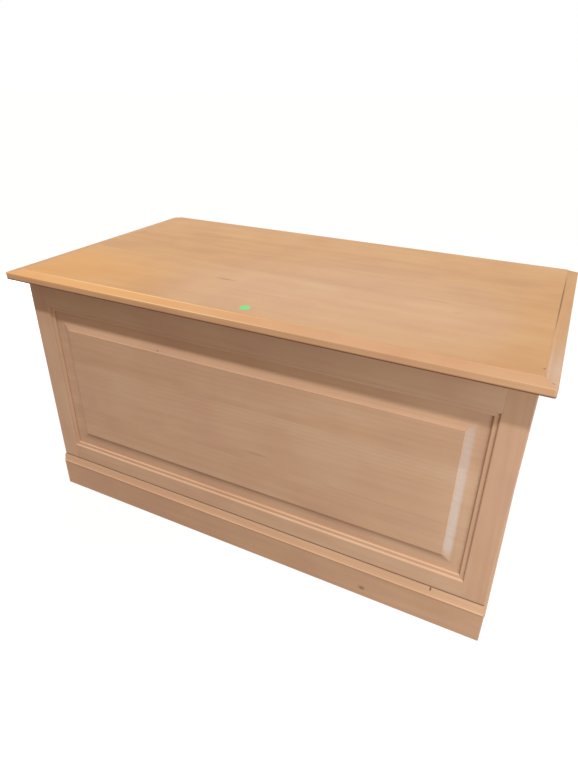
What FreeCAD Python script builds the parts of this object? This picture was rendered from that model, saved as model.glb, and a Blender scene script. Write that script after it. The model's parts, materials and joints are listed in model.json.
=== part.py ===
"""Blanket chest: a frame-and-panel carcass on a mitred plinth, with a hinged lid held by two stays.

Millimetres. X runs to the right, Y to the back and Z up. The origin lies on the floor, under the
middle of the closed chest. Every size below is a cell of the spreadsheet "Sizes"; each sub-part is
bound to those cells by expressions, so the document follows them.
"""
import FreeCAD, Part
import Sketcher
import math
import os
from types import SimpleNamespace

Vector = FreeCAD.Vector

SIZES = {
    # carcass
    "body_width": (960.0, "carcass, left face to right face"),
    "body_depth": (514.0, "carcass, front face to back face"),
    "frame_height": (432.0, "carcass frames, above the plinth"),
    "frame_thickness": (22.0, "stiles and rails"),
    "stile_face": (39.5, "flat face of a stile"),
    "top_rail_face": (55.5, "flat face of a top rail"),
    "bottom_rail_face": (36.5, "flat face of a bottom rail"),
    "stile_round": (2.5, "radius on the corners of the carcass"),
    "bottom_relief": (1.5, "bevel that makes the shadow line above the plinth"),
    # moulding and groove on the inner edges of stiles and rails
    "sticking_width": (11.0, "moulding, across the face; the groove is as deep"),
    "outer_bead": (3.2, "radius of its bead beside the face"),
    "inner_bead": (2.4, "radius of its bead beside the panel"),
    "groove_front": (7.0, "face to the front of the panel groove"),
    "groove_width": (7.0, "panel groove and tenon thickness"),
    "back_edge_bevel": (1.0, "bevel on the plain inner edges of the back frame"),
    # mortise and tenon
    "tenon_length": (30.0, "tenon, beyond the shoulder"),
    "tenon_set_in": (12.0, "tenon, in from the outer edge of its rail"),
    "tenon_shoulder": (3.0, "tenon, in from the moulded edge of its rail"),
    "joint_clearance": (0.1, "around tenons and tongues"),
    "mortise_extra": (1.0, "mortise deeper than its tenon"),
    # panels
    "panel_play": (1.5, "panel edge to the bottom of its groove"),
    "field_setback": (1.0, "raised field behind the face of the frame"),
    "field_step": (1.0, "shoulder round the raised field"),
    "bevel_width": (34.0, "moulded edge of the frame to the raised field"),
    "bevel_flat": (10.0, "flat margin of the bevel beside the frame"),
    # plinth
    "plinth_height": (82.5, "floor to the carcass"),
    "plinth_thickness": (22.0, "plinth boards"),
    "plinth_projection": (4.0, "plinth face beyond the carcass"),
    "plinth_ledge": (0.6, "lip of the moulding beyond the carcass"),
    "ogee_drop": (16.0, "height of the hollow-and-round of the plinth moulding"),
    "ogee_run": (2.6, "its outward run"),
    "bead_height": (4.8, "bead under it"),
    "bead_radius": (2.8, "radius of that bead"),
    "plinth_corner_round": (2.5, "radius on its upright corners"),
    "plinth_foot_bevel": (1.0, "bevel along the floor"),
    "glue_block_leg": (45.0, "glue block, along each board"),
    "glue_block_gap": (8.0, "glue block, in from the plinth's top and bottom"),
    # floor
    "cleat_width": (20.0, "floor cleat, across"),
    "cleat_height": (20.0, "floor cleat, high"),
    "floor_thickness": (12.0, "floor boards"),
    "floor_tongue": (5.0, "tongue of a floor board"),
    "floor_tongue_thickness": (4.0, "its thickness"),
    "floor_gap": (0.5, "gap between floor boards"),
    "floor_edge_gap": (1.0, "floor to the carcass"),
    # lid
    "lid_side_overhang": (20.0, "lid beyond the side of the carcass"),
    "lid_front_overhang": (32.5, "lid beyond the front of the carcass"),
    "lid_thickness": (16.5, "lid panel at its raised field"),
    "lid_front_border": (26.5, "width of the edge moulding along the front"),
    "lid_side_border": (20.0, "its width along the sides"),
    "lid_edge_height": (13.5, "upright edge of the lid"),
    "lid_border_rise": (1.2, "rise of the edge moulding from its edge to its hollow"),
    "lid_hollow": (0.35, "hollow beside the field, of the width of the moulding"),
    "lid_quirk": (0.5, "step from the hollow up to the field"),
    "lid_edge_round": (1.2, "radius on the outer arrises of the lid"),
    "lid_corner_round": (4.0, "radius on the corners of the lid"),
    "lid_field_round": (0.4, "radius round the raised field"),
    "lid_tongue": (6.0, "tongue of the lid panel"),
    "lid_tongue_thickness": (5.0, "its thickness"),
    "lid_tongue_rise": (4.0, "its underside, above the underside of the lid"),
    "batten_place": (240.0, "lid batten, from the middle"),
    "batten_width": (32.0, "lid batten, across"),
    "batten_thickness": (18.0, "lid batten, deep"),
    "batten_inset": (25.0, "batten end to the inside of the carcass"),
    "batten_bevel": (4.0, "bevel round the underside of a batten"),
    "batten_screw_pitch": (320.0, "between the screws of a batten"),
    # hinges
    "hinge_place": (300.0, "middle of a hinge, from the middle of the chest"),
    "hinge_length": (70.0, "hinge leaves"),
    "leaf_width": (18.0, "hinge leaf, on the wood"),
    "leaf_thickness": (1.8, "hinge leaf"),
    "leaf_gap": (0.4, "between the leaves of the closed hinge"),
    "leaf_clearance": (0.1, "leaf to the edge of its recess"),
    "axis_setback": (3.5, "hinge axis behind the back of the carcass"),
    "knuckle_radius": (3.2, "outside of the knuckles"),
    "knuckle_gap": (0.3, "between knuckles"),
    "pin_radius": (1.6, "hinge pin"),
    "hinge_screw_pitch": (24.0, "between the screws of a leaf"),
    # lid stays
    "stay_radius": (135.0, "hinge axis to the rivet and to the stud"),
    "stay_pivot_angle": (5.0, "rivet below the hinge axis, lid closed"),
    "stay_stud_angle": (15.0, "stud below the hinge axis"),
    "lid_open_angle": (95.0, "lid angle at which the slot stops the stud"),
    "arm_width": (14.0, "stay arm"),
    "arm_thickness": (2.0, "stay arm"),
    "slot_end_margin": (9.0, "far end of the slot's run to the end of the arm"),
    "slot_slack": (1.0, "spare slot behind the stud, lid closed"),
    "stud_radius": (3.0, "neck of the stud in the slot"),
    "slot_clearance": (0.3, "stud to the side of the slot"),
    "side_clearance": (0.3, "arm to what lies beside it"),
    "stud_plate_length": (50.0, "stud plate"),
    "stud_plate_width": (16.0, "stud plate"),
    "sheet_thickness": (2.0, "stud plate and lid bracket"),
    "stud_head_radius": (6.0, "head that holds the arm on"),
    "stud_head_height": (1.5, "height of that head"),
    "stud_screw_pitch": (34.0, "between the screws of a stud plate"),
    "bracket_length": (44.0, "foot of the lid bracket"),
    "bracket_foot": (18.0, "foot of the lid bracket, across"),
    "bracket_ear_radius": (7.0, "ear round the rivet"),
    "bracket_ear_root": (24.0, "ear where it leaves the foot"),
    "bracket_screw_pitch": (30.0, "between the screws of a bracket"),
    "rivet_radius": (3.0, "pivot rivet"),
    "rivet_head_radius": (5.0, "its heads"),
    "rivet_head_height": (1.0, "its heads"),
    "pivot_clearance": (0.05, "pins and rivets in their holes"),
    # screws
    "screw_radius": (1.6, "shank of the countersunk screws"),
    "screw_head_radius": (3.4, "their heads"),
    "screw_point": (3.0, "their points"),
    "screw_tip": (0.4, "radius at the end of a point"),
    "pilot_clearance": (0.05, "shank to its hole"),
    "rail_screw_length": (16.0, "screws into the carcass"),
    "lid_screw_length": (11.0, "screws into the lid"),
    "batten_screw_length": (27.0, "screws through a batten"),
}
FLOOR_BOARDS = 5
KNUCKLES = 3
SCREW_FLATS = 8                        # a screw is drawn with flats, so that its faces stay few
BACK, UNDER, ACROSS = 180, 180, 90     # turns, in degrees
PAST = 2.0                             # how far a cut runs out of the wood
MITRE_REACH = 1.2                      # length of a mitre's cut, of the length of the mitre
NEAR = 0.01                            # an edge this close to a level lies at that level
LEAST_CUT = 0.001                      # a cut that takes less than this volume has missed


# ---- sizes that know their formula -----------------------------------------------------------

class Size:
    """A number with the spreadsheet formula that gives it, so that arithmetic keeps both."""

    def __init__(self, value, formula=None):
        self.value = float(value)
        self.formula = formula or f"({self.value!r})"

    def __add__(self, other):
        other = sized(other)
        return Size(self.value + other.value, f"({self.formula} + {other.formula})")

    def __sub__(self, other):
        other = sized(other)
        return Size(self.value - other.value, f"({self.formula} - {other.formula})")

    def __mul__(self, other):
        other = sized(other)
        return Size(self.value * other.value, f"({self.formula} * {other.formula})")

    def __truediv__(self, other):
        other = sized(other)
        return Size(self.value / other.value, f"({self.formula} / {other.formula})")

    def __neg__(self):
        return Size(-self.value, f"(-{self.formula})")

    def __radd__(self, other):
        return sized(other) + self

    def __rsub__(self, other):
        return sized(other) - self

    def __rmul__(self, other):
        return sized(other) * self


def sized(number):
    return number if isinstance(number, Size) else Size(number)


def sine(angle):
    return Size(math.sin(math.radians(angle.value)), f"sin({angle.formula})")


def cosine(angle):
    return Size(math.cos(math.radians(angle.value)), f"cos({angle.formula})")


def bind(thing, name, number):
    """Set a property or a constraint of an object from a size, with its expression."""
    number = sized(number)
    if "Sizes." in number.formula:
        thing.setExpression(name, number.formula)
    elif not name.startswith("Constraints") and "." not in name:
        setattr(thing, name, number.value)


def make_sheet(document):
    sheet = document.addObject("Spreadsheet::Sheet", "Sizes")
    sizes = SimpleNamespace()
    for row, (alias, (value, note)) in enumerate(SIZES.items(), start=1):
        sheet.set(f"A{row}", alias)
        sheet.set(f"B{row}", str(value))
        sheet.set(f"C{row}", note)
        sheet.setAlias(f"B{row}", alias)
        setattr(sizes, alias, Size(value, f"Sizes.{alias}"))
    document.recompute()
    return sizes


doc = FreeCAD.newDocument("BlanketChest")
size = make_sheet(doc)
parts = {}


# ---- places that several pieces share --------------------------------------------------------

half_width = size.body_width / 2
overall_depth = size.lid_front_overhang + size.body_depth + size.axis_setback + size.knuckle_radius
front = size.lid_front_overhang - overall_depth / 2
back = front + size.body_depth
inside_front = front + size.frame_thickness
inside_back = back - size.frame_thickness
inside_side = half_width - size.frame_thickness
lid_base = size.plinth_height + size.frame_height
groove_back = size.groove_front + size.groove_width
axis_y = back + size.axis_setback


# ---- outlines and features -------------------------------------------------------------------

class Arc:
    """The next side of an outline is an arc; its centre lies to the left of it, or to the right."""

    def __init__(self, radius, side="left"):
        self.radius = sized(radius)
        self.turn = 1 if side == "left" else -1


def laid(outline, place, mirrored):
    """An outline moved by place(a, b), which gives x and y; mirrored if that swaps left and right."""
    moved = []
    for item in outline:
        if isinstance(item, Arc):
            flip = -item.turn if mirrored else item.turn
            moved.append(Arc(item.radius, "left" if flip > 0 else "right"))
        else:
            moved.append(place(*item))
    return moved


def rectangle(low_x, low_y, high_x, high_y):
    return [(low_x, low_y), (high_x, low_y), (high_x, high_y), (low_x, high_y)]


def flat_start_radius(run, drop):
    """Radius of the arc that starts along its run and has turned off it by drop at its end."""
    return (run * run + drop * drop) / (2 * drop)


def rounded_bar(half, low, high):
    """A bar along the second axis whose ends, centred on low and high, are half circles."""
    top, bottom = high + half, low - half
    return [(half, low), (half, high), Arc(half), (0, top), Arc(half), (-half, high),
            (-half, low), Arc(half), (0, bottom), Arc(half)]


def new_body(name, several=False):
    body = doc.addObject("PartDesign::Body", name)
    body.Label = name
    body.AllowCompound = several
    parts[name] = body
    return body


def place(body, x=0, y=0, z=0, axis=(0, 0, 1), turn=0):
    turn = sized(turn)
    body.Placement = FreeCAD.Placement(Vector(0, 0, 0), FreeCAD.Rotation(Vector(*axis), turn.value))
    for name, number in (("x", x), ("y", y), ("z", z)):
        bind(body, f"Placement.Base.{name}", number)
    bind(body, "Placement.Rotation.Angle", turn)


def new_sketch(body, plane, level):
    """A sketch on one of the body's own planes, moved along the third axis to level."""
    sketch = body.newObject("Sketcher::SketchObject", f"{body.Name}_outline")
    support = [item for item in body.Origin.OriginFeatures if item.Role == f"{plane}_Plane"][0]
    sketch.AttachmentSupport = [(support, "")]
    sketch.MapMode = "FlatFace"
    bind(sketch, "AttachmentOffset.Base.z", -level if plane == "XZ" else sized(level))
    return sketch


def arc_between(start, end, arc):
    """The arc as a sketch holds it, anticlockwise, so one that turns right is drawn end to start."""
    chord = end - start
    normal = Vector(-chord.y, chord.x, 0).normalize() * arc.turn
    rise = arc.radius.value - math.sqrt(max(arc.radius.value ** 2 - (chord.Length / 2) ** 2, 0))
    middle = (start + end) / 2 - normal * rise
    return Part.Arc(start, middle, end) if arc.turn > 0 else Part.Arc(end, middle, start)


def draw(sketch, outline):
    """Draw a closed outline, each corner held from the origin and each arc by its radius."""
    corners = [item for item in outline if not isinstance(item, Arc)]
    arcs = {}
    seen = 0
    for item in outline:
        if isinstance(item, Arc):
            arcs[seen - 1] = item
        else:
            seen += 1
    points = [Vector(sized(x).value, sized(y).value, 0) for x, y in corners]
    first = sketch.GeometryCount
    count = len(points)
    ends = []
    for number, start in enumerate(points):
        end = points[(number + 1) % count]
        arc = arcs.get(number)
        curve = arc_between(start, end, arc) if arc else Part.LineSegment(start, end)
        sketch.addGeometry(curve, False)
        ends.append((2, 1) if arc and arc.turn < 0 else (1, 2))
    for number in range(count):
        after = (number + 1) % count
        joined = (first + number, ends[number][1], first + after, ends[after][0])
        sketch.addConstraint(Sketcher.Constraint("Coincident", *joined))
    for number, (x, y) in enumerate(corners):
        for kind, distance in (("DistanceX", sized(x)), ("DistanceY", sized(y))):
            corner = (first + number, ends[number][0])
            held = Sketcher.Constraint(kind, -1, 1, *corner, distance.value)
            bind(sketch, f"Constraints[{sketch.addConstraint(held)}]", distance)
    for number, arc in arcs.items():
        held = Sketcher.Constraint("Radius", first + number, arc.radius.value)
        bind(sketch, f"Constraints[{sketch.addConstraint(held)}]", arc.radius)


def draw_circle(sketch, x, y, radius):
    x, y, radius = sized(x), sized(y), sized(radius)
    centre = Vector(x.value, y.value, 0)
    number = sketch.addGeometry(Part.Circle(centre, Vector(0, 0, 1), radius.value), False)
    for kind, distance in (("DistanceX", x), ("DistanceY", y)):
        held = Sketcher.Constraint(kind, -1, 1, number, 3, distance.value)
        bind(sketch, f"Constraints[{sketch.addConstraint(held)}]", distance)
    held = Sketcher.Constraint("Radius", number, radius.value)
    bind(sketch, f"Constraints[{sketch.addConstraint(held)}]", radius)


def extrude(body, kind, plane, low, high, outlines, circles):
    """A pad or a pocket that runs from low to high along the axis across its plane."""
    low, high = sized(low), sized(high)
    sketch = new_sketch(body, plane, (low + high) / 2)
    for outline in outlines:
        draw(sketch, outline)
    for circle in circles:
        draw_circle(sketch, *circle)
    feature = body.newObject(f"PartDesign::{kind}", f"{body.Name}_{kind.lower()}")
    feature.Profile = sketch
    feature.SideType = "Symmetric"
    bind(feature, "Length", high - low)


def add(body, plane, low, high, *outlines, circles=()):
    extrude(body, "Pad", plane, low, high, outlines, circles)


def cut(body, plane, low, high, *outlines, circles=()):
    extrude(body, "Pocket", plane, low, high, outlines, circles)


def dress(body, kind, number, chosen):
    """Fillet or chamfer the edges of the body for which chosen(edge box) is true."""
    doc.recompute()
    base = body.Tip
    names = [f"Edge{place}" for place, edge in enumerate(base.Shape.Edges, start=1)
             if chosen(edge.BoundBox)]
    feature = body.newObject(f"PartDesign::{kind}", f"{body.Name}_{kind.lower()}")
    feature.Base = (base, names)
    bind(feature, "Radius" if kind == "Fillet" else "Size", number)


def block(name, low, high):
    """A plain sawn piece between two corners."""
    box = doc.addObject("Part::Box", name)
    box.Label = name
    for length, start, end, axis in zip(("Length", "Width", "Height"), low, high, "xyz"):
        bind(box, length, sized(end) - start)
        bind(box, f"Placement.Base.{axis}", start)
    parts[name] = box


# ---- frames: stiles, rails and their panel ---------------------------------------------------

def member_section(face, moulded, arris=None, relief=None):
    """Section of a stile or rail: first its distance from the outer edge, then the depth."""
    inner = face + size.sticking_width
    if arris is not None:
        section = [(0, arris), Arc(arris), (arris, 0)]
    elif relief is not None:
        section = [(0, relief), (relief, 0)]
    else:
        section = [(0, 0)]
    if moulded:
        ledge = size.outer_bead
        section += [(face, 0), Arc(size.outer_bead), (face + size.outer_bead, ledge),
                    (inner - size.inner_bead, ledge), Arc(size.inner_bead),
                    (inner, ledge + size.inner_bead)]
    else:
        section += [(inner - size.back_edge_bevel, 0), (inner, size.back_edge_bevel)]
    section += [(inner, size.groove_front), (face, size.groove_front), (face, groove_back),
                (inner, groove_back), (inner, size.frame_thickness), (0, size.frame_thickness)]
    return section


def stile(name, half, side, moulded, at_corner):
    """A stile at one end of a frame: side is 1 at its +X end and -1 at its -X end."""
    body = new_body(name)
    section = member_section(size.stile_face, moulded, arris=size.stile_round if at_corner else None)
    shoulder = half - size.stile_face
    inner = shoulder - size.sticking_width
    add(body, "XY", 0, size.frame_height,
        laid(section, lambda u, y: (side * (half - u), y), mirrored=side > 0))
    joints = ((size.top_rail_face, lambda v: size.frame_height - v),
              (size.bottom_rail_face, lambda v: sized(v)))
    for rail_face, level in joints:
        mitre_end = rail_face + size.sticking_width + PAST
        waste = [(shoulder, -PAST), (shoulder, rail_face), (inner - PAST, mitre_end),
                 (inner - PAST, -PAST)]
        cut(body, "XZ", -PAST, size.frame_thickness + PAST,
            laid(waste, lambda x, v: (side * x, level(v)), mirrored=False))
        slack = size.joint_clearance
        mortise = rectangle(size.groove_front - slack, size.tenon_set_in - slack,
                            groove_back + slack, rail_face - size.tenon_shoulder + slack)
        deep = size.tenon_length + size.mortise_extra
        ends = sorted((side * (shoulder - PAST), side * (shoulder + deep)), key=lambda end: end.value)
        cut(body, "YZ", *ends, laid(mortise, lambda y, v: (y, level(v)), mirrored=False))
    relief = [(-PAST, -PAST), (size.bottom_relief + PAST, -PAST), (-PAST, size.bottom_relief + PAST)]
    cut(body, "YZ", -half - PAST, half + PAST, relief)
    if at_corner:
        cut(body, "XZ", -PAST, size.frame_thickness + PAST,
            laid(relief, lambda u, z: (side * (half - u), z), mirrored=False))
    return body


def rail(name, half, at_top, moulded):
    """A rail between the stiles, with a mitred moulding and a tenon at each end."""
    body = new_body(name)
    face = size.top_rail_face if at_top else size.bottom_rail_face
    shoulder = half - size.stile_face
    inner = shoulder - size.sticking_width

    def level(v):
        return size.frame_height - v if at_top else sized(v)

    section = member_section(face, moulded, relief=None if at_top else size.bottom_relief)
    add(body, "YZ", -shoulder, shoulder, laid(section, lambda v, y: (y, level(v)), mirrored=not at_top))
    mitre_end = face + size.sticking_width + PAST
    for side in (-1, 1):
        waste = [(shoulder, face), (inner - PAST, mitre_end), (shoulder + PAST, mitre_end),
                 (shoulder + PAST, face)]
        cut(body, "XZ", -PAST, size.frame_thickness + PAST,
            laid(waste, lambda x, v: (side * x, level(v)), mirrored=False))
    tenon = rectangle(size.groove_front, size.tenon_set_in, groove_back, face - size.tenon_shoulder)
    reach = shoulder + size.tenon_length
    add(body, "YZ", -reach, reach, laid(tenon, lambda y, v: (y, level(v)), mirrored=False))
    return body


def panel(name, half, raised):
    """The panel in its grooves; a raised one has a coved bevel cut along each edge."""
    body = new_body(name)
    tongue_front = size.groove_front + size.joint_clearance
    edge_x = half - size.stile_face - size.panel_play
    low = size.bottom_rail_face + size.panel_play
    high = size.frame_height - size.top_rail_face - size.panel_play
    front_y = size.field_setback if raised else tongue_front
    add(body, "XZ", front_y, groove_back - size.joint_clearance, rectangle(-edge_x, low, edge_x, high))
    if not raised:
        return body
    moulding_edge = size.sticking_width - size.panel_play
    flat_end = moulding_edge + size.bevel_flat
    arris = moulding_edge + size.bevel_width
    hollow_front = size.field_setback + size.field_step
    radius = flat_start_radius(arris - flat_end, tongue_front - hollow_front)
    bevel = [(-PAST, tongue_front), (flat_end, tongue_front), Arc(radius, "right"),
             (arris, hollow_front), (arris, -PAST), (-PAST, -PAST)]
    for side in (-1, 1):
        cut(body, "XY", low - PAST, high + PAST,
            laid(bevel, lambda u, y: (side * (edge_x - u), y), mirrored=side > 0))
    cut(body, "YZ", -edge_x - PAST, edge_x + PAST,
        laid(bevel, lambda u, y: (y, low + u), mirrored=True))
    cut(body, "YZ", -edge_x - PAST, edge_x + PAST,
        laid(bevel, lambda u, y: (y, high - u), mirrored=False))
    return body


def frame(prefix, length, x, y, turn, stiles, raised, at_corner):
    """A whole frame, its outer face at x, y and turned about Z; stiles names its -X and +X ends."""
    half = length / 2
    pieces = [stile(f"{prefix}_{stiles[0]}_stile", half, -1, raised, at_corner),
              stile(f"{prefix}_{stiles[1]}_stile", half, 1, raised, at_corner),
              rail(f"{prefix}_top_rail", half, True, raised),
              rail(f"{prefix}_bottom_rail", half, False, raised),
              panel(f"{prefix}_panel", half, raised)]
    for piece in pieces:
        place(piece, x, y, size.plinth_height, turn=turn)


def frames():
    side_length = size.body_depth - 2 * size.frame_thickness
    middle = (front + back) / 2
    frame("front", size.body_width, 0, front, 0, ("left", "right"), True, True)
    frame("back", size.body_width, 0, back, BACK, ("right", "left"), False, True)
    frame("left", side_length, -half_width, middle, -ACROSS, ("rear", "front"), True, False)
    frame("right", side_length, half_width, middle, ACROSS, ("front", "rear"), True, False)


# ---- mitred corners, for the plinth and the lid ----------------------------------------------

def mitre_waste(other, own, corner_round):
    """What a mitre takes off a board's end: first in from the end, then in from the face.

    It runs to the inner corner, as far from the end as the other board is wide.
    """
    tip = corner_round * (1 - math.sqrt(0.5))
    far, deep = (tip + (width - tip) * MITRE_REACH for width in (other, own))
    return [(corner_round, -PAST), (corner_round, 0), Arc(corner_round, "right"), (tip, tip),
            (far, deep), (-PAST, deep), (-PAST, -PAST)]


def mitre_front_board(body, low, high, half, face, front_width, side_width, corner_round):
    waste = mitre_waste(side_width, front_width, corner_round)
    for side in (-1, 1):
        cut(body, "XY", low, high,
            laid(waste, lambda a, b: (side * (half - a), face + b), mirrored=side > 0))


def mitre_side_board(body, low, high, half, face, front_width, side_width, corner_round, side):
    waste = mitre_waste(front_width, side_width, corner_round)
    cut(body, "XY", low, high,
        laid(waste, lambda a, b: (side * (half - b), face + a), mirrored=side < 0))


# ---- plinth ----------------------------------------------------------------------------------

def plinth_section():
    """First outwards from the carcass, then up from the floor."""
    inner = size.plinth_projection - size.plinth_thickness
    top = size.plinth_height
    middle_run = size.plinth_ledge + size.ogee_run / 2
    low_run = size.plinth_ledge + size.ogee_run
    ogee_low = top - size.ogee_drop
    radius = flat_start_radius(size.ogee_drop / 2, size.ogee_run / 2)
    foot = size.plinth_foot_bevel
    return [(inner, top), (size.plinth_ledge, top), Arc(radius, "right"),
            (middle_run, top - size.ogee_drop / 2), Arc(radius), (low_run, ogee_low),
            Arc(size.bead_radius, "right"), (size.plinth_projection, ogee_low - size.bead_height),
            (size.plinth_projection, foot), (size.plinth_projection - foot, 0), (inner, 0)]


def plinth():
    half = half_width + size.plinth_projection
    face = front - size.plinth_projection
    inner_half = half - size.plinth_thickness
    corner = (half, face, size.plinth_thickness, size.plinth_thickness, size.plinth_corner_round)
    levels = (-PAST, size.plinth_height + PAST)
    board = new_body("plinth_front")
    add(board, "YZ", -half - PAST, half + PAST,
        laid(plinth_section(), lambda d, z: (front - d, z), mirrored=True))
    mitre_front_board(board, *levels, *corner)
    for name, side in (("plinth_left", -1), ("plinth_right", 1)):
        board = new_body(name)
        add(board, "XZ", face - PAST, back,
            laid(plinth_section(), lambda d, z: (side * (half_width + d), z), mirrored=side < 0))
        mitre_side_board(board, *levels, *corner, side)
    inner_front = face + size.plinth_thickness
    inner_back = back - size.plinth_thickness
    block("plinth_back", (-inner_half, inner_back, 0), (inner_half, back, size.plinth_height))
    glue_blocks(inner_half, inner_front, inner_back)


def glue_blocks(inner_half, inner_front, inner_back):
    body = new_body("plinth_glue_blocks", several=True)
    leg = size.glue_block_leg
    for side in (-1, 1):
        for corner_y, inwards in ((inner_front, 1), (inner_back, -1)):
            triangle = [(side * inner_half, corner_y), (side * (inner_half - leg), corner_y),
                        (side * inner_half, corner_y + inwards * leg)]
            add(body, "XY", size.glue_block_gap, size.plinth_height - size.glue_block_gap, triangle)


# ---- floor -----------------------------------------------------------------------------------

def floor():
    low = size.plinth_height
    high = low + size.cleat_height
    cleat_front = inside_front + size.cleat_width
    cleat_back = inside_back - size.cleat_width
    cleat_side = inside_side - size.cleat_width
    block("floor_cleat_front", (-inside_side, inside_front, low), (inside_side, cleat_front, high))
    block("floor_cleat_rear", (-inside_side, cleat_back, low), (inside_side, inside_back, high))
    block("floor_cleat_left", (-inside_side, cleat_front, low), (-cleat_side, cleat_back, high))
    block("floor_cleat_right", (cleat_side, cleat_front, low), (inside_side, cleat_back, high))
    width = 2 * (inside_side - size.floor_edge_gap)
    pitch = (width + size.floor_gap) / FLOOR_BOARDS
    for number in range(FLOOR_BOARDS):
        left = size.floor_edge_gap - inside_side + number * pitch
        floor_board(number, left, left + pitch - size.floor_gap, high)


def floor_board(number, left, right, low):
    """A board with a tongue on its right edge, apart from the last, and a groove on its left."""
    body = new_body(f"floor_board_{number + 1}")
    ends = (inside_front + size.floor_edge_gap, inside_back - size.floor_edge_gap)
    add(body, "XZ", *ends, rectangle(left, low, right, low + size.floor_thickness))
    tongue_low = low + (size.floor_thickness - size.floor_tongue_thickness) / 2
    tongue_high = tongue_low + size.floor_tongue_thickness
    slack = size.joint_clearance
    if number < FLOOR_BOARDS - 1:
        tongue = rectangle(right - PAST, tongue_low, right + size.floor_tongue, tongue_high)
        add(body, "XZ", *ends, tongue)
    if number > 0:
        groove = rectangle(left - PAST, tongue_low - slack, left + size.floor_tongue, tongue_high + slack)
        cut(body, "XZ", ends[0] - PAST, ends[1] + PAST, groove)


# ---- lid -------------------------------------------------------------------------------------

lid_half = half_width + size.lid_side_overhang
lid_front = front - size.lid_front_overhang
tongue_low = lid_base + size.lid_tongue_rise
tongue_high = tongue_low + size.lid_tongue_thickness


def lid_panel():
    """The glued-up board, with its raised field and a tongue on three edges."""
    body = new_body("lid_panel")
    side = lid_half - size.lid_side_border
    near = lid_front + size.lid_front_border
    top = lid_base + size.lid_thickness
    add(body, "XY", lid_base, top, rectangle(-side, near, side, back))
    reach = size.lid_tongue
    add(body, "XY", tongue_low, tongue_high,
        rectangle(-side - reach, near - reach, side + reach, back))
    dress(body, "Fillet", size.lid_field_round, lambda box: box.ZMin > top.value - NEAR)
    for middle in (-size.hinge_place, size.hinge_place):
        low_x = middle - size.hinge_length / 2 - size.leaf_clearance
        high_x = middle + size.hinge_length / 2 + size.leaf_clearance
        recess = rectangle(low_x, back - size.leaf_width - size.leaf_clearance, high_x, back + PAST)
        cut(body, "XY", lid_base - PAST, lid_base + leaf_recess(), recess)


def lid_section(width):
    """Edge moulding of the lid: first in from the outer edge, then up from its underside."""
    small = size.lid_edge_round
    slack = size.joint_clearance
    high = size.lid_tongue_rise + size.lid_tongue_thickness + slack
    low = size.lid_tongue_rise - slack
    deep = width - size.lid_tongue - slack
    run = width * size.lid_hollow
    hollow_low = size.lid_edge_height + size.lid_border_rise
    hollow_high = size.lid_thickness - size.lid_quirk
    radius = flat_start_radius(run, hollow_high - hollow_low)
    return [(0, small), Arc(small), (small, 0), (width, 0), (width, low), (deep, low), (deep, high),
            (width, high), (width, hollow_high), Arc(radius, "right"), (width - run, hollow_low),
            (small, size.lid_edge_height), Arc(small), (0, size.lid_edge_height - small)]


def lid_mouldings():
    corner = (lid_half, lid_front, size.lid_front_border, size.lid_side_border, size.lid_corner_round)
    levels = (lid_base - PAST, lid_base + size.lid_thickness + PAST)
    piece = new_body("lid_front_moulding")
    add(piece, "YZ", -lid_half, lid_half,
        laid(lid_section(size.lid_front_border), lambda a, z: (lid_front + a, lid_base + z),
             mirrored=False))
    mitre_front_board(piece, *levels, *corner)
    for name, side in (("lid_left_moulding", -1), ("lid_right_moulding", 1)):
        piece = new_body(name)
        add(piece, "XZ", lid_front, back,
            laid(lid_section(size.lid_side_border),
                 lambda a, z: (side * (lid_half - a), lid_base + z), mirrored=side > 0))
        mitre_side_board(piece, *levels, *corner, side)


def lid_battens():
    low = lid_base - size.batten_thickness
    ends = (inside_front + size.batten_inset, inside_back - size.batten_inset)
    for name, side in (("lid_left_batten", -1), ("lid_right_batten", 1)):
        body = new_body(name)
        middle = side * size.batten_place
        half = size.batten_width / 2
        add(body, "XY", low, lid_base, rectangle(middle - half, ends[0], middle + half, ends[1]))
        dress(body, "Chamfer", size.batten_bevel, lambda box: box.ZMax < low.value + NEAR)


# ---- screws, which are also the shape of their own holes -------------------------------------

HEADINGS = {"up": ((1, 0, 0), 0), "down": ((1, 0, 0), UNDER),
            "left": ((0, 1, 0), -ACROSS), "right": ((0, 1, 0), ACROSS)}


def flat_sided(rings):
    """A solid with flat sides about Z, through rings of corners given by their level and radius."""
    loops = []
    for level, radius in rings:
        turns = [2 * math.pi * number / SCREW_FLATS for number in range(SCREW_FLATS + 1)]
        loops.append([Vector(radius * math.cos(turn), radius * math.sin(turn), level) for turn in turns])
    outlines = [loops[0], loops[-1]]
    for low, high in zip(loops, loops[1:]):
        for number in range(SCREW_FLATS):
            after = number + 1
            outlines.append([low[number], low[after], high[after], high[number], low[number]])
    return Part.Solid(Part.Shell([Part.Face(Part.makePolygon(outline)) for outline in outlines]))


def screw(name, head, heading, length, slack=0):
    """A countersunk screw, or its hole with slack: head is the middle of its top face."""
    axis, turn = HEADINGS[heading]
    shank, sink = size.screw_radius, size.screw_head_radius - size.screw_radius
    rings = ((sized(0), size.screw_head_radius), (sink, shank), (length - size.screw_point, shank),
             (length + slack, size.screw_tip))
    piece = doc.addObject("Part::Feature", name)
    piece.Shape = flat_sided([(level.value, (radius + slack).value) for level, radius in rings])
    place(piece, *head, axis=axis, turn=turn)
    return piece


def screws(name, places, length):
    """A node of identical screws, from each one's head and heading; gives their holes back."""
    group = doc.addObject("Part::Compound", name)
    group.Label = name
    holes = doc.addObject("Part::Compound", f"{name}_holes")
    places = list(enumerate(places, start=1))
    group.Links = [screw(f"{name}_{number}", *where, length) for number, where in places]
    holes.Links = [screw(f"{name}_hole_{number}", *where, length, size.pilot_clearance)
                   for number, where in places]
    parts[name] = group
    return holes


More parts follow.
